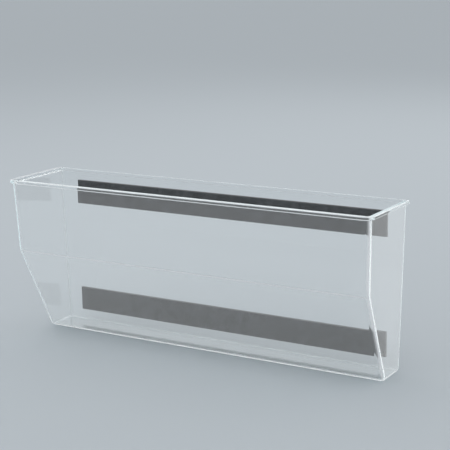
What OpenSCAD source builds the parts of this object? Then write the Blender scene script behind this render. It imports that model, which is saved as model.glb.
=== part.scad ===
// Clear moulded file pocket, held up by two magnet strips that are taped to its back.
// The origin is the middle of the upper strip's outer face. +Y points out of the back, +Z points up.

/* [Pocket] */
// Width across the rim
rim_w = 406; // [340:1:470]
// Depth from the back face to the front of the rim
rim_d = 85; // [72:1:110]
// Height from the base to the top of the rim
pocket_h = 166; // [150:1:220]
// Thickness of every wall
wall = 2.5; // [1.6:0.1:3.6]
// Outside radius of the edges and corners
edge_r = 5; // [4:0.5:8]

/* [Front, sides and base] */
// Height of the crease across the front
crease_h = 92; // [70:1:110]
// How far the crease lies behind the top of the front wall
front_lean = 3; // [2:0.5:12]
// Depth of the base
base_d = 39; // [30:1:55]
// How far each side draws in from the top to the base
side_taper = 5.5; // [2:0.5:12]

/* [Rim] */
// Height of the rim bead
rim_h = 3.5; // [2.5:0.5:10]
// How far the rim bead stands out from the front and side walls
rim_out = 2.5; // [1.5:0.5:6]
// Rounding of the rim bead's outer edges
rim_edge_r = 1; // [0.4:0.1:1.2]
// Radius of the rim bead's corners where it ends flush with the back face
rim_back_r = 1.5; // [1.3:0.1:4]

/* [Magnet strips] */
// Width of each magnet strip
magnet_w = 25; // [15:1:40]
// Thickness of each magnet strip
magnet_t = 3; // [1.5:0.1:5]
// Rounding along the strip's long edges
magnet_edge_r = 0.5; // [0.2:0.1:0.7]
// Distance from each end of a strip to the rounded corner of the back
magnet_end = 12; // [5:1:40]
// Distance from the top of the rim, or from the base, to the nearest strip
magnet_margin = 12; // [9:1:25]

/* [Adhesive tape] */
// Thickness of the tape under each strip
tape_t = 0.5; // [0.2:0.1:1.2]
// How far the tape stops short of the strip's outline
tape_inset = 0.5; // [0.2:0.1:2]

/* [Hidden] */

// Sides of the rounded corners, and of the rim's own rounded edges
corner_sides = 32;
rim_edge_sides = 16;

// Outside of the walls at the top, behind the rim bead, and at the crease
body_w = rim_w - 2 * rim_out;
body_d = rim_d - rim_out;
base_w = body_w - 2 * side_taper;
crease_d = body_d - front_lean;

// The corner centres stop above the top, so that the walls run straight through the cut there
open_h = pocket_h + edge_r;

// Strips run along the flat of the back, one near the top and one near the base
magnet_l = base_w - 2 * (edge_r + magnet_end);
top_z = magnet_margin + magnet_w / 2;
base_z = top_z - pocket_h;
upper_z = 0;
lower_z = base_z + magnet_margin + magnet_w / 2;
back_y = -(magnet_t + tape_t);

// Half the width between the corner centres at a height above the base
function centre_x(h) = body_w / 2 - edge_r - side_taper * (pocket_h - h) / (pocket_h - edge_r);

// Depth of the front corner centres at a height above the crease
function upper_front(h) = crease_d - edge_r + front_lean * (h - crease_h) / (pocket_h - crease_h);

// Depth and height of each pair of corner centres: back, open top, crease and base
corner_levels = [
    [edge_r, edge_r],
    [edge_r, open_h],
    [upper_front(open_h), open_h],
    [crease_d - edge_r, crease_h],
    [base_d - edge_r, edge_r],
];

// Ball whose poles and equator lie on its true radius
module corner_ball(r) {
    rotate_extrude($fn = corner_sides)
        intersection() {
            circle(r, $fn = corner_sides);
            translate([0, -r])
                square([r, 2 * r]);
        }
}

// Solid of the pocket with its edges rounded to r. One set of centres serves inside and outside,
// so the wall between two of these solids is even all over.
module pocket_form(r) {
    hull()
        for (level = corner_levels, side = [-1, 1])
            translate([side * centre_x(level[1]), -level[0], level[1]])
                corner_ball(r);
}

// Ring that rounds one edge of the rim at a corner of radius r
module rim_corner(r) {
    rotate_extrude($fn = corner_sides)
        intersection() {
            translate([r - rim_edge_r, 0])
                circle(rim_edge_r, $fn = rim_edge_sides);
            translate([0, -rim_edge_r])
                square([r, 2 * rim_edge_r]);
        }
}

// Bead round the mouth: it stands out at the front and sides and is flush with the back face
module rim_form() {
    hull()
        for (side = [-1, 1], h = [pocket_h - rim_h + rim_edge_r, pocket_h - rim_edge_r]) {
            translate([side * (body_w / 2 - edge_r), edge_r - body_d, h])
                rim_corner(edge_r + rim_out);
            translate([side * (rim_w / 2 - rim_back_r), -rim_back_r, h])
                rim_corner(rim_back_r);
        }
}

module pocket_shell() {
    color("lightcyan", 0.4)
        translate([0, back_y, base_z])
            difference() {
                union() {
                    intersection() {
                        pocket_form(edge_r);
                        translate([-rim_w / 2, -rim_d, 0])
                            cube([rim_w, rim_d, pocket_h]);
                    }
                    rim_form();
                }
                pocket_form(edge_r - wall);
            }
}

// Rectangle with true round corners, centred
module rounded_section(w, h, r) {
    square([w - 2 * r, h], center = true);
    square([w, h - 2 * r], center = true);
    for (x = [-1, 1], y = [-1, 1])
        translate([x * (w / 2 - r), y * (h / 2 - r)])
            circle(r, $fn = corner_sides);
}

// Extruded strip of flexible magnet, its outer face in the plane y = 0
module magnet_strip(z) {
    color("#2b2624")
        translate([0, -magnet_t / 2, z])
            rotate([90, 0, 90])
                linear_extrude(magnet_l, center = true)
                    rounded_section(magnet_t, magnet_w, magnet_edge_r);
}

// Adhesive between a strip and the back of the pocket
module adhesive_tape(z) {
    color("#3c3d40")
        translate([0, -magnet_t - tape_t / 2, z])
            cube([magnet_l - 2 * tape_inset, tape_t, magnet_w - 2 * tape_inset], center = true);
}

pocket_shell();
magnet_strip(upper_z);  // upper_magnet_strip
magnet_strip(lower_z);  // lower_magnet_strip
adhesive_tape(upper_z);  // upper_adhesive_tape
adhesive_tape(lower_z);  // lower_adhesive_tape
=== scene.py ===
# %% [markdown]
# This lesson makes the looks of a clear moulded file pocket, which two magnet strips on its back hold
# up. The imported solids are loaded first, as a frame that never moves. Everything below is made in that
# frame, in metres. The box round the solids is kept.

# %% Load the frame
import math

import bpy
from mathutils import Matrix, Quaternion, Vector


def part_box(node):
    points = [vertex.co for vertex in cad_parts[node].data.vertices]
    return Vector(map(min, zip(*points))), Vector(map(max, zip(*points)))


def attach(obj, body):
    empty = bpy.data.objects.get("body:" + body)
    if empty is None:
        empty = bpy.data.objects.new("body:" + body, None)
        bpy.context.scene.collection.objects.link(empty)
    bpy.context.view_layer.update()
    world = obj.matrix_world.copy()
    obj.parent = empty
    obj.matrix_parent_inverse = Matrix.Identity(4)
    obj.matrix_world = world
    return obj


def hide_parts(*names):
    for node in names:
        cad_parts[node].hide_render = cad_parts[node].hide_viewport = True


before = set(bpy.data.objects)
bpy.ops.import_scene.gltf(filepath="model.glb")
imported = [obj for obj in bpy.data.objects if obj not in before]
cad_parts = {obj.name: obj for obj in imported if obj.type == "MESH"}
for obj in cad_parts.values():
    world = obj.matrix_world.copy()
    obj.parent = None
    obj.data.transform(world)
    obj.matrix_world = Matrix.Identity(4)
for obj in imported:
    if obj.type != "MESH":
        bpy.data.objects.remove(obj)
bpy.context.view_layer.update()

MM = 0.001
scene = bpy.context.scene
scene.view_settings.view_transform = "Standard"
print("solids:", sorted(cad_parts))

# %% [markdown]
# The camera stands where the photograph was taken from: in front, to the right and a little above, with
# a long lens. Its place was fitted to the outline of the pocket, and it leans by about a degree.

# %% Camera
CAMERA_AT = Vector((649.9, -1065.2, 258.8)) * MM
CAMERA_AIM = Vector((53.8, -85.0, 2.6)) * MM
CAMERA_LEAN = math.radians(-1.01)
LENS_MM = 101.9

camera = bpy.data.objects.new("camera", bpy.data.cameras.new("camera"))
camera.data.lens = LENS_MM
camera.location = CAMERA_AT
camera.rotation_mode = "QUATERNION"
look = (CAMERA_AIM - CAMERA_AT).to_track_quat("-Z", "Y")
camera.rotation_quaternion = look @ Quaternion((0, 0, 1), CAMERA_LEAN)
scene.collection.objects.link(camera)
scene.camera = camera
print("camera to pocket, m:", round((CAMERA_AIM - CAMERA_AT).length, 3))

# %% [markdown]
# Three helpers serve every finish. Colours are written as they look on a screen, so the first turns a
# hex value into the linear light that shaders work in. The second adds a node to any tree: its settings
# are plain attributes, and an input takes a constant, a socket, or a node, which stands for its first
# output. The third empties the tree of a material or of the world.

# %% Colours and nodes


def linear(hex_colour):
    """Linear RGBA of an sRGB hex colour."""
    channels = [int(hex_colour[i : i + 2], 16) / 255 for i in (1, 3, 5)]
    return [c / 12.92 if c <= 0.04045 else ((c + 0.055) / 1.055) ** 2.4 for c in channels] + [1.0]


def add(tree, kind, inputs=None, **settings):
    """Adds a node with its settings, and sets or links its inputs."""
    node = tree.nodes.new(kind)
    for name, value in settings.items():
        setattr(node, name, value)
    for key, value in (inputs or {}).items():
        if isinstance(value, bpy.types.Node):
            value = value.outputs[0]
        if isinstance(value, bpy.types.NodeSocket):
            tree.links.new(value, node.inputs[key])
        else:
            node.inputs[key].default_value = value
    return node


def empty_tree(owner):
    """The tree of a new material or world, with nothing in it."""
    owner.use_nodes = True
    owner.node_tree.nodes.clear()
    return owner.node_tree


print("mid grey in linear light:", round(linear("#808080")[0], 3))

# %% [markdown]
# Such pockets are moulded in clear polystyrene, in polished moulds, so the surface is glossy. Handling
# leaves soft smudges, and the flow of the melt leaves a slight wave in the walls. A smudge only dulls
# the gloss, so noise sets the roughness, and the wave is a low bump. The values of a noise texture lie
# round a half, so a stretch of them is picked out for the smudges.

# %% Surface of the polystyrene
SMUDGE_SIZE = 45 * MM
SMUDGES_FROM = 0.45
SMUDGES_TO = 0.75
POLISHED_ROUGHNESS = 0.012
SMUDGED_ROUGHNESS = 0.045
WAVE_SIZE = 28 * MM
WAVE_HEIGHT = 0.015 * MM

clear_plastic = bpy.data.materials.new("moulded_polystyrene")
tree = empty_tree(clear_plastic)
place = add(tree, "ShaderNodeTexCoord").outputs["Object"]
smudges = add(tree, "ShaderNodeTexNoise", {"Vector": place, "Scale": 1 / SMUDGE_SIZE, "Detail": 3.0})
roughness = add(tree, "ShaderNodeMapRange", {"Value": smudges, "From Min": SMUDGES_FROM,
                                             "From Max": SMUDGES_TO,
                                             "To Min": POLISHED_ROUGHNESS,
                                             "To Max": SMUDGED_ROUGHNESS})
wave = add(tree, "ShaderNodeTexNoise", {"Vector": place, "Scale": 1 / WAVE_SIZE, "Detail": 0.0})
surface = add(tree, "ShaderNodeBump", {"Height": wave, "Distance": WAVE_HEIGHT})
print("material:", clear_plastic.name)

# %% [markdown]
# The plastic bends light strongly, which draws a line along every rounded edge. With use the edges get
# scuffed. A scuff scatters light and looks white, so less light passes through it. The shell will carry
# its scuffs as a named mark, and the same mark is also a painted highlight: a thin white line on each
# edge that stands in for the bright line the edge catches. Noise makes it a little uneven here.

# %% Scuffs and painted highlights on its edges
MATH = "ShaderNodeMath"
MARK_NOISE_SIZE = 9 * MM
UNEVEN_FROM = 0.35
UNEVEN_TO = 0.6
FAINTEST_MARK = 0.75
CLEAR = 0.985
SCUFFED_AND_HIGHLIGHTED = 0.5
POLYSTYRENE_IOR = 1.59

# The mark is partly real scuffing and partly a painted highlight: where it is strong, the edge is
# whitened.
wear = add(tree, "ShaderNodeAttribute", attribute_name="wear")
mark_noise = add(tree, "ShaderNodeTexNoise", {"Vector": place, "Scale": 1 / MARK_NOISE_SIZE, "Detail": 3.0})
uneven = add(tree, "ShaderNodeMapRange", {"Value": mark_noise, "From Min": UNEVEN_FROM, "From Max": UNEVEN_TO,
                                          "To Min": FAINTEST_MARK, "To Max": 1.0})
scuffed_and_highlighted = add(tree, MATH, {0: wear.outputs["Fac"], 1: uneven}, operation="MULTIPLY")
clarity = add(tree, "ShaderNodeMapRange", {"Value": scuffed_and_highlighted, "To Min": CLEAR, "To Max": SCUFFED_AND_HIGHLIGHTED})
plastic = add(tree, "ShaderNodeBsdfPrincipled", {"Base Color": linear("#FFFFFF"),
                                                 "IOR": POLYSTYRENE_IOR, "Roughness": roughness,
                                                 "Transmission Weight": clarity, "Normal": surface})
print("transmission, clear and scuffed:", CLEAR, SCUFFED_AND_HIGHLIGHTED)

# %% [markdown]
# Lamps shine through the plastic, so its shadow is light. Light that is caught between the two faces of
# a wall is mirrored to and fro and leaves at an edge, which is why the edges of clear plastic shine. The
# renderer gives such light up after four mirrorings and paints it black. So the plastic lets it go
# unbent after two, as it lets the light of the lamps go. A long way through, the plastic looks faintly
# teal, and a thin absorbing volume gives that.

# %% Light in the walls
MIRRORINGS = 2
LET_THROUGH = linear("#F6F9FA")
TEAL_TINT = linear("#D9F3F8")
TINT_PER_METRE = 18.0

ray = add(tree, "ShaderNodeLightPath")
caught = add(tree, MATH, {0: ray.outputs["Glossy Depth"], 1: MIRRORINGS}, operation="GREATER_THAN")
let_go = add(tree, MATH, {0: ray.outputs["Is Shadow Ray"], 1: caught}, operation="MAXIMUM")
unbent = add(tree, "ShaderNodeBsdfTransparent", {"Color": LET_THROUGH})
clear = add(tree, "ShaderNodeMixShader", {0: let_go, 1: plastic, 2: unbent})
tint = add(tree, "ShaderNodeVolumeAbsorption", {"Color": TEAL_TINT, "Density": TINT_PER_METRE})
add(tree, "ShaderNodeOutputMaterial", {"Surface": clear, "Volume": tint})
print("nodes in the plastic:", len(tree.nodes))

# %% [markdown]
# The shell is one moulding whose shape follows a rule: one section of the wall runs all the way round.
# Its overall sizes are read from the frame. What a box can't say, such as the wall and the crease, is
# written here once.

# %% Sizes of the moulding
shell_low, shell_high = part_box("pocket_shell")
RIM_W, RIM_D, POCKET_H = shell_high - shell_low
WALL = 2.5 * MM
EDGE_R = 5 * MM
CREASE_H = 92 * MM
CREASE_SOFT = 0.8 * MM
FRONT_LEAN = 3 * MM
BASE_D = 39 * MM
SIDE_TAPER = 5.5 * MM
RIM_H = 3.5 * MM
RIM_OUT = 2.5 * MM
RIM_EDGE_R = 1 * MM
RIM_ROOT_R = 0.6 * MM
RIM_DRAFT = 0.2 * MM
MOUTH_R = 0.6 * MM
LOWER_SLOPE = (RIM_D - RIM_OUT - FRONT_LEAN - BASE_D) / (CREASE_H - EDGE_R)
LEAN_SHARE = math.hypot(1, LOWER_SLOPE) - 1
print("shell, mm:", [round(side / MM, 1) for side in (RIM_W, RIM_D, POCKET_H)])

# %% [markdown]
# The shapes start as sketches. A sketch is a chain of corners, and each corner can carry marks, such as
# the radius that rounds it. It is kept as a mesh of bare edges, with the marks as attributes, because
# geometry nodes can read those.

# %% Sketches


def corner_at(place, rounding=0.0, steps=0, **marks):
    """One corner of a sketch, with the radius and the steps that round it, and any other marks."""
    return {"place": place, "rounding": rounding, "steps": steps, **marks}


def sketch_mesh(name, corners, closed):
    """A chain of corners as a mesh, with their marks as attributes."""
    chain = [(i, i + 1) for i in range(len(corners) - 1)]
    if closed:
        chain.append((len(corners) - 1, 0))
    mesh = bpy.data.meshes.new(name)
    mesh.from_pydata([corner["place"] for corner in corners], chain, [])
    for mark in sorted(set().union(*corners) - {"place"}):
        values = [corner.get(mark, 0) for corner in corners]
        kind = "INT" if mark == "steps" else "FLOAT"
        mesh.attributes.new(mark, kind, "POINT").data.foreach_set("value", values)
    print(name, "corners:", len(corners))
    return mesh


# %% [markdown]
# The section is sketched as a moulder would draw it, from the middle of the floor, up the inside, over
# the rim bead, down the outside and back to the middle of the base. In the sketch, x is the distance
# outside the wall's outer face and z is the height. A ladder of close rings crosses the crease on both
# faces, so that it can be softly rounded. Three marks say where the moulding wears and where a white
# line is painted as a highlight: along this corner, at the front only, and where the row crosses an
# upright edge. Hands touch the rim most, so its mark is stronger, which broadens its line, and that broad
# white line is also a painted highlight for the bright lines of the rim.

# %% Sketch of the wall section
RIM_LOW = POCKET_H - RIM_H
EDGE_MARGIN = 1.5 * MM
BESIDE_EDGE = EDGE_R + EDGE_MARGIN
RING_GAP = 0.4 * MM
RINGS_EACH_SIDE = 7
MARKED_CREASE_RINGS = 4
RIM_WEAR_AND_HIGHLIGHT = 3.0
FLOOR_STEPS = 8
MOUTH_STEPS = 5
RIM_STEPS = 6
ROOT_STEPS = 4
EDGE_STEPS = 10

crease_rings = [(CREASE_H + ring * RING_GAP, max(1 - abs(ring) / MARKED_CREASE_RINGS, 0))
                for ring in range(-RINGS_EACH_SIDE, RINGS_EACH_SIDE + 1)]

corners = [corner_at((-BASE_D, 0, WALL)), corner_at((-WALL, 0, WALL), EDGE_R - WALL, FLOOR_STEPS)]
corners += [corner_at((-WALL, 0, height)) for height, crease_line_strength in crease_rings]
corners += [corner_at((-WALL, 0, POCKET_H), MOUTH_R, MOUTH_STEPS)]
corners += [corner_at((RIM_OUT, 0, height), RIM_EDGE_R, RIM_STEPS, wear=RIM_WEAR_AND_HIGHLIGHT, upright=1)
            for height in (POCKET_H, RIM_LOW + RIM_DRAFT)]
corners += [corner_at((0, 0, RIM_LOW), RIM_ROOT_R, ROOT_STEPS, upright=1)]
corners += [corner_at((0, 0, height), front=crease_line_strength, upright=1) for height, crease_line_strength in reversed(crease_rings)]
corners += [corner_at((0, 0, BESIDE_EDGE), upright=1)]
corners += [corner_at((0, 0, 0), EDGE_R, EDGE_STEPS, wear=1, upright=1)]
corners += [corner_at((-BESIDE_EDGE, 0, 0)), corner_at((-BASE_D, 0, 0))]
wall_sketch = sketch_mesh("wall_sketch", corners, closed=False)

# %% [markdown]
# A tree of geometry nodes turns a sketch into a piece. This helper starts one, with named inputs for
# the sketch, its sizes, its place and its material, so that the tree holds no size of the object.

# %% Trees with named inputs


def shape_tree(name, numbers):
    """A geometry tree with number inputs, a place and a material, and its inputs' sockets."""
    tree = bpy.data.node_groups.new(name, "GeometryNodeTree")
    tree.interface.new_socket("Sketch", in_out="INPUT", socket_type="NodeSocketGeometry")
    for number in numbers:
        tree.interface.new_socket(number, in_out="INPUT", socket_type="NodeSocketFloat")
    tree.interface.new_socket("Place", in_out="INPUT", socket_type="NodeSocketVector")
    tree.interface.new_socket("Material", in_out="INPUT", socket_type="NodeSocketMaterial")
    tree.interface.new_socket("Piece", in_out="OUTPUT", socket_type="NodeSocketGeometry")
    print(name, "number inputs:", len(numbers))
    return tree, add(tree, "NodeGroupInput").outputs


# %% [markdown]
# The first tree lofts the section round the plan, and the next cells build it. It rounds the sketch's
# corners. Then it lays out a grid with one row for each point of the rounded section and one column for
# each step round the plan. A grid keeps the mesh regular, which clear plastic needs: every uneven face
# would show as a ripple. The plan has four corners of so many steps each, and one more column that
# closes the loop.

# %% Rows and columns
PLAN_CORNERS = 4
CORNER_STEPS = 12

loft, size = shape_tree("lofted_wall", ["Rim width", "Rim depth", "Height", "Wall", "Edge radius",
                                        "Crease height", "Crease softness", "Front lean", "Base depth",
                                        "Lean share", "Side taper", "Rim height", "Overhang",
                                        "Corner steps"])
radius_mark = add(loft, "GeometryNodeInputNamedAttribute", {"Name": "rounding"}, data_type="FLOAT")
steps_mark = add(loft, "GeometryNodeInputNamedAttribute", {"Name": "steps"}, data_type="INT")
drawn = add(loft, "GeometryNodeMeshToCurve", {"Mesh": size["Sketch"]})
section = add(loft, "GeometryNodeFilletCurve", {"Curve": drawn, "Radius": radius_mark,
                                                "Count": steps_mark}, mode="POLY")
rows = add(loft, "GeometryNodeAttributeDomainSize", {"Geometry": section}, component="CURVE")
corner_points = add(loft, MATH, {0: size["Corner steps"], 1: 1.0}, operation="ADD")
around = add(loft, MATH, {0: corner_points, 1: PLAN_CORNERS}, operation="MULTIPLY")
columns = add(loft, MATH, {0: around, 1: 1.0}, operation="ADD")
grid = add(loft, "GeometryNodeMeshGrid", {"Vertices X": rows.outputs["Point Count"],
                                          "Vertices Y": columns})
index = add(loft, "GeometryNodeInputIndex")
rows_passed = add(loft, MATH, {0: index, 1: columns}, operation="DIVIDE")
row = add(loft, MATH, {0: rows_passed}, operation="FLOOR")
place_in_row = add(loft, MATH, {0: index, 1: columns}, operation="FLOORED_MODULO")
column = add(loft, MATH, {0: place_in_row, 1: around}, operation="FLOORED_MODULO")
print("points round the plan:", PLAN_CORNERS * (CORNER_STEPS + 1))

# %% [markdown]
# A column's number tells which corner of the plan it belongs to, and its angle round that corner. The
# signs of the cosine and sine at the corner's middle say whether it is right or left, and back or front.

# %% Corner and angle
QUARTER = math.pi / 2

corners_passed = add(loft, MATH, {0: column, 1: corner_points}, operation="DIVIDE")
corner = add(loft, MATH, {0: corners_passed}, operation="FLOOR")
step = add(loft, MATH, {0: column, 1: corner_points}, operation="FLOORED_MODULO")
share = add(loft, MATH, {0: step, 1: size["Corner steps"]}, operation="DIVIDE")
quarters = add(loft, MATH, {0: corner, 1: share}, operation="ADD")
angle = add(loft, MATH, {0: quarters, 1: QUARTER}, operation="MULTIPLY")
cosine = add(loft, MATH, {0: angle}, operation="COSINE")
sine = add(loft, MATH, {0: angle}, operation="SINE")
middle = add(loft, MATH, {0: corner, 1: QUARTER, 2: QUARTER / 2}, operation="MULTIPLY_ADD")
middle_cosine = add(loft, MATH, {0: middle}, operation="COSINE")
middle_sine = add(loft, MATH, {0: middle}, operation="SINE")
right_left = add(loft, MATH, {0: middle_cosine}, operation="SIGN")
back_front = add(loft, MATH, {0: middle_sine}, operation="SIGN")
at_front = add(loft, MATH, {0: back_front, 1: 0.0}, operation="LESS_THAN")
print("nodes so far:", len(loft.nodes))

# %% [markdown]
# The row gives a point of the section: its distance outwards and its height. The walls stand at
# distances that change with the height. The sides draw in evenly towards the base, so that the moulding
# leaves its mould.

# %% Sides at each height
position = add(loft, "GeometryNodeInputPosition")
drawn_point = add(loft, "GeometryNodeSampleIndex", {"Geometry": section, "Value": position, "Index": row},
                  data_type="FLOAT_VECTOR", domain="POINT")
drawn_parts = add(loft, "ShaderNodeSeparateXYZ", {0: drawn_point}).outputs
drawn_out, height = drawn_parts["X"], drawn_parts["Z"]

half_rim = add(loft, MATH, {0: size["Rim width"], 1: 0.5}, operation="MULTIPLY")
half_top = add(loft, MATH, {0: half_rim, 1: size["Overhang"]}, operation="SUBTRACT")
half_base = add(loft, MATH, {0: half_top, 1: size["Side taper"]}, operation="SUBTRACT")
half_width = add(loft, "ShaderNodeMapRange", {"Value": height, "From Min": size["Edge radius"],
                                              "From Max": size["Height"], "To Min": half_base,
                                              "To Max": half_top}, clamp=False)
print("nodes so far:", len(loft.nodes))

# %% [markdown]
# The front follows the nearer of two slopes, which meet in the crease. A smooth minimum rounds it. The
# lower slope leans a lot, so its inner face stands a little further in, and the wall is as thick there
# as elsewhere.

# %% Front and crease
top_depth = add(loft, MATH, {0: size["Rim depth"], 1: size["Overhang"]}, operation="SUBTRACT")
crease_depth = add(loft, MATH, {0: top_depth, 1: size["Front lean"]}, operation="SUBTRACT")
lower_slope = add(loft, "ShaderNodeMapRange", {"Value": height, "From Min": size["Edge radius"],
                                               "From Max": size["Crease height"],
                                               "To Min": size["Base depth"], "To Max": crease_depth},
                  clamp=False)
upper_slope = add(loft, "ShaderNodeMapRange", {"Value": height, "From Min": size["Crease height"],
                                               "From Max": size["Height"], "To Min": crease_depth,
                                               "To Max": top_depth}, clamp=False)
inner_face = add(loft, MATH, {0: size["Wall"], 1: -1.0}, operation="MULTIPLY")
in_wall = add(loft, MATH, {0: drawn_out, 1: inner_face}, operation="MAXIMUM")
lower_face = add(loft, MATH, {0: in_wall, 1: size["Lean share"], 2: lower_slope},
                 operation="MULTIPLY_ADD")
depth = add(loft, MATH, {0: lower_face, 1: upper_slope, 2: size["Crease softness"]},
            operation="SMOOTH_MIN")
print("nodes so far:", len(loft.nodes))

# %% [markdown]
# The section reaches inwards only as far as the middle of the base, where the two halves of the base and
# of the floor meet. At the back the rim bead ends flush, so that the pocket can lie flat: the top of the
# bead is squeezed into the wall's thickness there, and its underside vanishes.

# %% Middle of the base, and flush back
base_middle = add(loft, MATH, {0: depth, 1: -0.5}, operation="MULTIPLY")
out = add(loft, MATH, {0: drawn_out, 1: base_middle}, operation="MAXIMUM")
from_mouth = add(loft, MATH, {0: out, 1: size["Wall"]}, operation="ADD")
bead_width = add(loft, MATH, {0: size["Wall"], 1: size["Overhang"]}, operation="ADD")
bead_share = add(loft, MATH, {0: from_mouth, 1: bead_width}, operation="DIVIDE")
squeeze = add(loft, MATH, {0: bead_share, 1: size["Overhang"]}, operation="MULTIPLY")
squeezed = add(loft, MATH, {0: out, 1: squeeze}, operation="SUBTRACT")
cut_off = add(loft, MATH, {0: out, 1: 0.0}, operation="MINIMUM")
bead_middle = add(loft, MATH, {0: size["Rim height"], 1: -0.5, 2: size["Height"]},
                  operation="MULTIPLY_ADD")
in_bead = add(loft, MATH, {0: height, 1: bead_middle}, operation="GREATER_THAN")
back_y = add(loft, "GeometryNodeSwitch", {"Switch": in_bead, "False": cut_off, "True": squeezed},
             input_type="FLOAT")
print("nodes so far:", len(loft.nodes))

# %% [markdown]
# Now each point can be placed. A corner's radius grows outwards at the front, and shrinks on both sides
# of the wall at the back, where the rim's corner is tight. The point lies on that corner's arc, whose
# centre stands in from the two walls by the radius.

# %% Place of each point
front_reach = add(loft, MATH, {0: depth, 1: out}, operation="ADD")
front_y = add(loft, MATH, {0: front_reach, 1: -1.0}, operation="MULTIPLY")
wall_y = add(loft, "GeometryNodeSwitch", {"Switch": at_front, "False": back_y, "True": front_y},
             input_type="FLOAT")
front_radius = add(loft, MATH, {0: size["Edge radius"], 1: out}, operation="ADD")
off_wall = add(loft, MATH, {0: out}, operation="ABSOLUTE")
back_radius = add(loft, MATH, {0: size["Edge radius"], 1: off_wall}, operation="SUBTRACT")
wanted_radius = add(loft, "GeometryNodeSwitch", {"Switch": at_front, "False": back_radius,
                                                 "True": front_radius}, input_type="FLOAT")
radius = add(loft, MATH, {0: wanted_radius, 1: 0.0}, operation="MAXIMUM")
side_reach = add(loft, MATH, {0: half_width, 1: out}, operation="ADD")
side_centre = add(loft, MATH, {0: side_reach, 1: radius}, operation="SUBTRACT")
centre_x = add(loft, MATH, {0: side_centre, 1: right_left}, operation="MULTIPLY")
x = add(loft, MATH, {0: radius, 1: cosine, 2: centre_x}, operation="MULTIPLY_ADD")
from_wall = add(loft, MATH, {0: sine, 1: back_front}, operation="SUBTRACT")
y = add(loft, MATH, {0: radius, 1: from_wall, 2: wall_y}, operation="MULTIPLY_ADD")
point = add(loft, "ShaderNodeCombineXYZ", {0: x, 1: y, 2: height})
placed = add(loft, "GeometryNodeSetPosition", {"Geometry": grid, "Position": point,
                                               "Offset": size["Place"]})
print("nodes so far:", len(loft.nodes))

# %% [markdown]
# Wear is a thin line on the crown of each rounding, and the same white line is a painted highlight there.
# In the section, the crown is where the curve runs at 45 degrees, so twice the product of its tangent's
# parts is 1 there and 0 on the flats, and a high power makes the line thin.

# %% Wear and painted highlight along the rows
LINE_SHARPNESS = 6.0

marks = {}
for mark in ("wear", "front", "upright"):
    on_section = add(loft, "GeometryNodeInputNamedAttribute", {"Name": mark}, data_type="FLOAT")
    marks[mark] = add(loft, "GeometryNodeSampleIndex", {"Geometry": section, "Value": on_section,
                                                        "Index": row}, data_type="FLOAT", domain="POINT")
tangent = add(loft, "GeometryNodeInputTangent")
run = add(loft, "GeometryNodeSampleIndex", {"Geometry": section, "Value": tangent, "Index": row},
          data_type="FLOAT_VECTOR", domain="POINT")
run_parts = add(loft, "ShaderNodeSeparateXYZ", {0: run}).outputs
run_product = add(loft, MATH, {0: run_parts["X"], 1: run_parts["Z"]}, operation="MULTIPLY")
half_slant = add(loft, MATH, {0: run_product}, operation="ABSOLUTE")
slant = add(loft, MATH, {0: half_slant, 1: 2.0}, operation="MULTIPLY")
row_line = add(loft, MATH, {0: slant, 1: LINE_SHARPNESS}, operation="POWER")
row_wear = add(loft, MATH, {0: row_line, 1: marks["wear"]}, operation="MULTIPLY", use_clamp=True)
print("marks read from the section:", sorted(marks))

# %% [markdown]
# Round the plan, a sine over each corner does the same for the upright edges. The crease wears, and
# carries a painted highlight line, only where the wall faces the front. The most of the three is stored
# on the mesh, where the plastic finds it.

# %% Wear and painted highlight of upright edges and crease
half_turn = add(loft, MATH, {0: share, 1: math.pi}, operation="MULTIPLY")
crown = add(loft, MATH, {0: half_turn}, operation="SINE")
edge_line = add(loft, MATH, {0: crown, 1: LINE_SHARPNESS}, operation="POWER")
edge_wear = add(loft, MATH, {0: edge_line, 1: marks["upright"]}, operation="MULTIPLY")
facing_front = add(loft, MATH, {0: sine, 1: -1.0}, operation="MULTIPLY", use_clamp=True)
crease_wear = add(loft, MATH, {0: marks["front"], 1: facing_front}, operation="MULTIPLY")
outer_wear = add(loft, MATH, {0: row_wear, 1: edge_wear}, operation="MAXIMUM")
most_wear = add(loft, MATH, {0: outer_wear, 1: crease_wear}, operation="MAXIMUM")
# What is stored is wear and a painted highlight in one mark.
worn_and_highlighted = add(loft, "GeometryNodeStoreNamedAttribute",
           {"Geometry": placed, "Name": "wear", "Value": most_wear}, data_type="FLOAT", domain="POINT")
print("nodes so far:", len(loft.nodes))

# %% [markdown]
# Points that fell together at the seams and in the middle of the base are joined, which closes the
# shell. The tree ends as every tree here does, with real geometry and its material.

# %% Seams
SEAM_REACH = 0.002 * MM

joined = add(loft, "GeometryNodeMergeByDistance", {"Geometry": worn_and_highlighted, "Distance": SEAM_REACH})
smooth = add(loft, "GeometryNodeSetShadeSmooth", {"Geometry": joined})
real = add(loft, "GeometryNodeRealizeInstances", {"Geometry": smooth})
dressed = add(loft, "GeometryNodeSetMaterial", {"Geometry": real, "Material": size["Material"]})
add(loft, "NodeGroupOutput", {0: dressed})
print("nodes in the loft:", len(loft.nodes))

# %% [markdown]
# The last helper puts a tree on a sketch. Each input is set by its socket's identifier, before the
# piece is first worked out. Weighted normals keep broad faces flat right up to their rounded edges. The
# result is turned into plain mesh, with no modifier left on it.

# %% From sketch to piece


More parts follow.
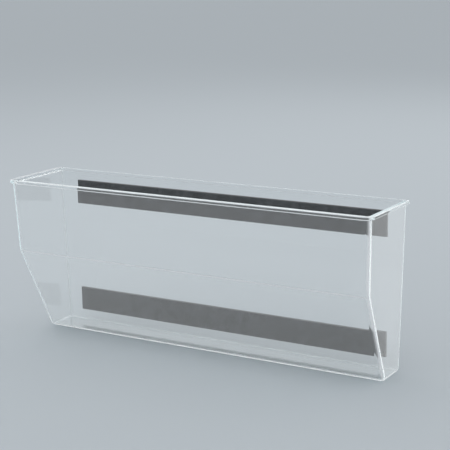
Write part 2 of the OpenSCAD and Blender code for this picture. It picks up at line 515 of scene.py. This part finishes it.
def shaped_piece(name, sketch, tree, values):
    """The piece that a geometry tree makes from a sketch."""
    piece = bpy.data.objects.new(name, sketch)
    scene.collection.objects.link(piece)
    shape = piece.modifiers.new("shape", "NODES")
    shape.node_group = tree
    for socket in tree.interface.items_tree:
        if socket.name in values:
            shape[socket.identifier] = values[socket.name]
    piece.modifiers.new("flat faces", "WEIGHTED_NORMAL")
    evaluated = piece.evaluated_get(bpy.context.evaluated_depsgraph_get())
    mesh = bpy.data.meshes.new_from_object(evaluated)
    if mesh.materials[0] is None:
        mesh.materials.pop(index=0)
    piece.modifiers.clear()
    piece.data = mesh
    print(name, "faces:", len(mesh.polygons))
    return piece


# %% [markdown]
# The pocket is the sketch with that tree on it. It is pressed a twentieth of a millimetre into the tape
# behind it. The glue of real tape wets the plastic in the same way, so the tape is seen through the back
# with no film of air between.

# %% Pocket shell
TAPE_CONTACT = 0.05 * MM

pocket = shaped_piece("pocket", wall_sketch, loft, {
    "Rim width": RIM_W, "Rim depth": RIM_D, "Height": POCKET_H, "Wall": WALL, "Edge radius": EDGE_R,
    "Crease height": CREASE_H, "Crease softness": CREASE_SOFT, "Front lean": FRONT_LEAN,
    "Base depth": BASE_D, "Lean share": LEAN_SHARE, "Side taper": SIDE_TAPER, "Rim height": RIM_H,
    "Overhang": RIM_OUT, "Corner steps": CORNER_STEPS, "Material": clear_plastic,
    "Place": (0, shell_high.y + TAPE_CONTACT, shell_low.z),
})
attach(pocket, "root")
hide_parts("pocket_shell")

# %% [markdown]
# The magnet strips are ferrite powder in rubber, pushed through a die and cut to length. That makes a
# dark brown-black, satin material, with faint streaks along the strip and a fine grain where powder
# breaks the surface. Real powder is far too fine to see, so its grain is drawn coarser, to show close up.

# %% Ferrite rubber
STREAK_LENGTH = 60 * MM
STREAK_WIDTH = 2.5 * MM
STREAKS_FROM = 0.3
STREAKS_TO = 0.75
DARK_STREAK = linear("#241F1D")
PALE_STREAK = linear("#3B3431")
SATIN_ROUGHNESS = 0.42
DULL_ROUGHNESS = 0.62
GRAIN_SIZE = 0.35 * MM
GRAIN_HEIGHT = 0.01 * MM

ferrite_rubber = bpy.data.materials.new("ferrite_rubber")
tree = empty_tree(ferrite_rubber)
place = add(tree, "ShaderNodeTexCoord").outputs["Object"]
along = add(tree, "ShaderNodeMapping", {"Vector": place, "Scale": (STREAK_WIDTH / STREAK_LENGTH, 1, 1)})
streaks = add(tree, "ShaderNodeTexNoise", {"Vector": along, "Scale": 1 / STREAK_WIDTH, "Detail": 4.0})
shade = add(tree, "ShaderNodeValToRGB", {"Fac": streaks})
shade.color_ramp.elements[0].position = STREAKS_FROM
shade.color_ramp.elements[0].color = DARK_STREAK
shade.color_ramp.elements[1].position = STREAKS_TO
shade.color_ramp.elements[1].color = PALE_STREAK
satin = add(tree, "ShaderNodeMapRange", {"Value": streaks, "To Min": SATIN_ROUGHNESS,
                                         "To Max": DULL_ROUGHNESS})
grain = add(tree, "ShaderNodeTexNoise", {"Vector": place, "Scale": 1 / GRAIN_SIZE, "Detail": 2.0})
surface = add(tree, "ShaderNodeBump", {"Height": grain, "Distance": GRAIN_HEIGHT})
rubber = add(tree, "ShaderNodeBsdfPrincipled", {"Base Color": shade, "Roughness": satin,
                                                "Normal": surface})
add(tree, "ShaderNodeOutputMaterial", {"Surface": rubber})
print("material:", ferrite_rubber.name)

# %% [markdown]
# The die leaves fine lines along the strip. So the strip's section is sketched with close points across
# its outer face, marked as lined, and rounded at its four corners. In this sketch x is the depth behind
# the outer face and y goes across the strip.

# %% Sketch of the strip section
strip_low, strip_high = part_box("upper_magnet_strip")
STRIP_L, STRIP_T, STRIP_W = strip_high - strip_low
STRIP_EDGE_R = 0.5 * MM
STRIP_EDGE_STEPS = 4
LINE_PITCH = 1.6 * MM
LINE_DEPTH = 0.1 * MM
LINE_STEPS = 8

lines = 2 * math.floor((STRIP_W / 2 - 2 * STRIP_EDGE_R) / LINE_PITCH)
line_places = [(lines / 2 - k / LINE_STEPS) * LINE_PITCH for k in range(lines * LINE_STEPS + 1)]
strip_corners = [corner_at((0, across, 0), lined=1) for across in line_places]
strip_corners += [corner_at((deep, across * STRIP_W, 0), STRIP_EDGE_R, STRIP_EDGE_STEPS)
                  for deep, across in ((0, -0.5), (STRIP_T, -0.5), (STRIP_T, 0.5), (0, 0.5))]
strip_sketch = sketch_mesh("strip_sketch", strip_corners, closed=True)
print("lines on a strip:", lines)

# %% [markdown]
# A second tree does what the die does. It rounds the sketch and presses the lines into the section's
# outer face, as a cosine that is flush at both ends.

# %% Lines on the strip
extrude, size = shape_tree("extruded_strip", ["Length", "Line pitch", "Line depth"])
radius_mark = add(extrude, "GeometryNodeInputNamedAttribute", {"Name": "rounding"}, data_type="FLOAT")
steps_mark = add(extrude, "GeometryNodeInputNamedAttribute", {"Name": "steps"}, data_type="INT")
lined_mark = add(extrude, "GeometryNodeInputNamedAttribute", {"Name": "lined"}, data_type="FLOAT")
drawn = add(extrude, "GeometryNodeMeshToCurve", {"Mesh": size["Sketch"]})
section = add(extrude, "GeometryNodeFilletCurve", {"Curve": drawn, "Radius": radius_mark,
                                                   "Count": steps_mark}, mode="POLY")
position = add(extrude, "GeometryNodeInputPosition")
across = add(extrude, "ShaderNodeSeparateXYZ", {0: position}).outputs["Y"]
in_lines = add(extrude, MATH, {0: across, 1: size["Line pitch"]}, operation="DIVIDE")
turns = add(extrude, MATH, {0: in_lines, 1: 2 * math.pi}, operation="MULTIPLY")
cosine = add(extrude, MATH, {0: turns}, operation="COSINE")
ripple = add(extrude, MATH, {0: cosine, 1: -0.5, 2: 0.5}, operation="MULTIPLY_ADD")
deep = add(extrude, MATH, {0: ripple, 1: size["Line depth"]}, operation="MULTIPLY")
pressed = add(extrude, MATH, {0: deep, 1: lined_mark}, operation="MULTIPLY")
inwards = add(extrude, "ShaderNodeCombineXYZ", {0: pressed})
lined = add(extrude, "GeometryNodeSetPosition", {"Geometry": section, "Offset": inwards})
print("nodes so far:", len(extrude.nodes))

# %% [markdown]
# Then it pushes the section along a straight path. The ends are filled, as a knife leaves them.

# %% Strip along its path
path = add(extrude, "GeometryNodeCurvePrimitiveLine", {"Start": size["Place"], "Direction": (1, 0, 0),
                                                       "Length": size["Length"]}, mode="DIRECTION")
pushed = add(extrude, "GeometryNodeCurveToMesh", {"Curve": path, "Profile Curve": lined,
                                                  "Fill Caps": True})
real = add(extrude, "GeometryNodeRealizeInstances", {"Geometry": pushed})
dressed = add(extrude, "GeometryNodeSetMaterial", {"Geometry": real, "Material": size["Material"]})
add(extrude, "NodeGroupOutput", {0: dressed})
print("nodes in the extrusion:", len(extrude.nodes))

# %% [markdown]
# Both strips come from the same sketch and tree. Each takes its place from its solid.

# %% Magnet strips
for name in ("upper_magnet_strip", "lower_magnet_strip"):
    low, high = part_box(name)
    strip = shaped_piece(name.replace("strip", "rubber"), strip_sketch, extrude, {
        "Length": STRIP_L, "Line pitch": LINE_PITCH, "Line depth": LINE_DEPTH,
        "Place": (low.x, high.y, (low.z + high.z) / 2), "Material": ferrite_rubber,
    })
    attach(strip, "root")
    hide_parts(name)

# %% [markdown]
# Double-sided acrylic foam tape joins each strip to the pocket. It is a plain flat band, so its solid is
# shown as it is and only gets a finish. Seen through the plastic, it is dark where the glue has wetted
# the wall and a little paler where it has not, in soft patches. The foam's cells are drawn larger than
# real ones, to show close up.

# %% Foam tape
PATCH_SIZE = 7 * MM
PATCHES_FROM = 0.42
PATCHES_TO = 0.68
WETTED_SHADE = linear("#2A2B2E")
UNWETTED_SHADE = linear("#4A4C50")
CELL_SIZE = 0.4 * MM
CELL_DEPTH = 0.03 * MM
FOAM_ROUGHNESS = 0.6

foam_tape = bpy.data.materials.new("acrylic_foam_tape")
tree = empty_tree(foam_tape)
place = add(tree, "ShaderNodeTexCoord").outputs["Object"]
patches = add(tree, "ShaderNodeTexNoise", {"Vector": place, "Scale": 1 / PATCH_SIZE, "Detail": 5.0,
                                           "Roughness": 0.6})
shade = add(tree, "ShaderNodeValToRGB", {"Fac": patches})
shade.color_ramp.elements[0].position = PATCHES_FROM
shade.color_ramp.elements[0].color = WETTED_SHADE
shade.color_ramp.elements[1].position = PATCHES_TO
shade.color_ramp.elements[1].color = UNWETTED_SHADE
cells = add(tree, "ShaderNodeTexVoronoi", {"Vector": place, "Scale": 1 / CELL_SIZE})
surface = add(tree, "ShaderNodeBump", {"Height": cells, "Distance": CELL_DEPTH})
foam = add(tree, "ShaderNodeBsdfPrincipled", {"Base Color": shade, "Roughness": FOAM_ROUGHNESS,
                                              "Normal": surface})
add(tree, "ShaderNodeOutputMaterial", {"Surface": foam})
for name in ("upper_adhesive_tape", "lower_adhesive_tape"):
    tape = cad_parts[name]
    tape.data.materials[0] = foam_tape
print("material:", foam_tape.name)

# %% [markdown]
# The floor is a plain pale sheet, a hair under the base. What the plastic mirrors of it is white, as
# the cloth of a light tent would be.

# %% Floor
FLOOR_GAP = 0.2 * MM
FLOOR_HALF = 8.0
SHEET_SHADE = linear("#BFC5C9")
SHEET_ROUGHNESS = 0.9
SHEET_SPECULAR = 0.2

floor_z = shell_low.z - FLOOR_GAP
floor_corners = [(x * FLOOR_HALF, y * FLOOR_HALF, floor_z)
                 for x, y in ((-1, -1), (1, -1), (1, 1), (-1, 1))]
floor_mesh = bpy.data.meshes.new("floor")
floor_mesh.from_pydata(floor_corners, [], [(0, 1, 2, 3)])
floor = bpy.data.objects.new("floor", floor_mesh)
scene.collection.objects.link(floor)
pale_sheet = bpy.data.materials.new("pale_sheet")
tree = empty_tree(pale_sheet)
sheet = add(tree, "ShaderNodeBsdfPrincipled", {"Base Color": SHEET_SHADE, "Roughness": SHEET_ROUGHNESS,
                                               "Specular IOR Level": SHEET_SPECULAR})
white = add(tree, "ShaderNodeEmission", {"Color": linear("#FFFFFF"), "Strength": 1.0})
ray = add(tree, "ShaderNodeLightPath")
mirrored = add(tree, MATH, {0: ray.outputs["Is Glossy Ray"], 1: ray.outputs["Is Transmission Ray"]},
               operation="SUBTRACT", use_clamp=True)
seen = add(tree, "ShaderNodeMixShader", {0: mirrored, 1: sheet, 2: white})
add(tree, "ShaderNodeOutputMaterial", {"Surface": seen})
floor_mesh.materials.append(pale_sheet)
print("floor at, mm:", round(floor_z / MM, 1))

# %% [markdown]
# The light is that of a small studio, with a pale sky all round. A camera that stands low would see the
# floor end against it in a hard line. So where the sky is in plain sight, or seen through the plastic,
# it has the shade of the far floor near the horizon and fades from that upwards, as a curved paper
# backdrop does. What lights the pocket, and what it mirrors, is the whole pale sky.

# %% Sky and backdrop
SKY_STRENGTH = 0.82
SKY_SHADE = linear("#F2F5F8")
FAR_FLOOR_SHADE = linear("#B9C1C6")
FADE_FROM = 0.05
FADE_TO = 0.2

studio = bpy.data.worlds.new("studio")
scene.world = studio
tree = empty_tree(studio)
sky = add(tree, "ShaderNodeBackground", {"Color": SKY_SHADE, "Strength": SKY_STRENGTH})
direction = add(tree, "ShaderNodeTexCoord").outputs["Generated"]
rise = add(tree, "ShaderNodeSeparateXYZ", {0: direction}).outputs["Z"]
fade = add(tree, "ShaderNodeValToRGB", {"Fac": rise})
fade.color_ramp.interpolation = "EASE"
fade.color_ramp.elements[0].position = FADE_FROM
fade.color_ramp.elements[0].color = FAR_FLOOR_SHADE
fade.color_ramp.elements[1].position = FADE_TO
fade.color_ramp.elements[1].color = SKY_SHADE
backdrop = add(tree, "ShaderNodeBackground", {"Color": fade, "Strength": SKY_STRENGTH})
ray = add(tree, "ShaderNodeLightPath")
in_sight = add(tree, MATH, {0: ray.outputs["Is Camera Ray"], 1: ray.outputs["Is Transmission Ray"]},
               operation="ADD", use_clamp=True)
surroundings = add(tree, "ShaderNodeMixShader", {0: in_sight, 1: sky, 2: backdrop})
add(tree, "ShaderNodeOutputWorld", {"Surface": surroundings})
print("sky strength:", SKY_STRENGTH)

# %% [markdown]
# Three soft lamps join the sky. The rim mirrors what stands to the left above it and behind it, so two
# of them hang there and draw the bright lines along its edges. The third fills in from the front. A row
# of the table gives a lamp's place and aim, its width and length in metres, and its power.

# %% Lamps
for name, spot, aim, width, length, watts in (
    ("top_softbox", (-1.0, 0.0, 1.5), (0, 0, -0.1), 1.5, 1.5, 5),
    ("back_softbox", (0.2, 1.7, 1.1), (0, 0, -0.1), 2.2, 0.9, 5),
    ("front_softbox", (1.0, -1.1, 1.0), (0.1, -0.2, -0.14), 1.0, 1.0, 1.5),
):
    lamp = bpy.data.lights.new(name, "AREA")
    lamp.shape = "RECTANGLE"
    lamp.size = width
    lamp.size_y = length
    lamp.energy = watts
    stand = bpy.data.objects.new(name, lamp)
    stand.location = spot
    stand.rotation_mode = "QUATERNION"
    stand.rotation_quaternion = (Vector(aim) - Vector(spot)).to_track_quat("-Z", "Y")
    stand.visible_camera = False
    scene.collection.objects.link(stand)
    print(name, "watts:", watts)
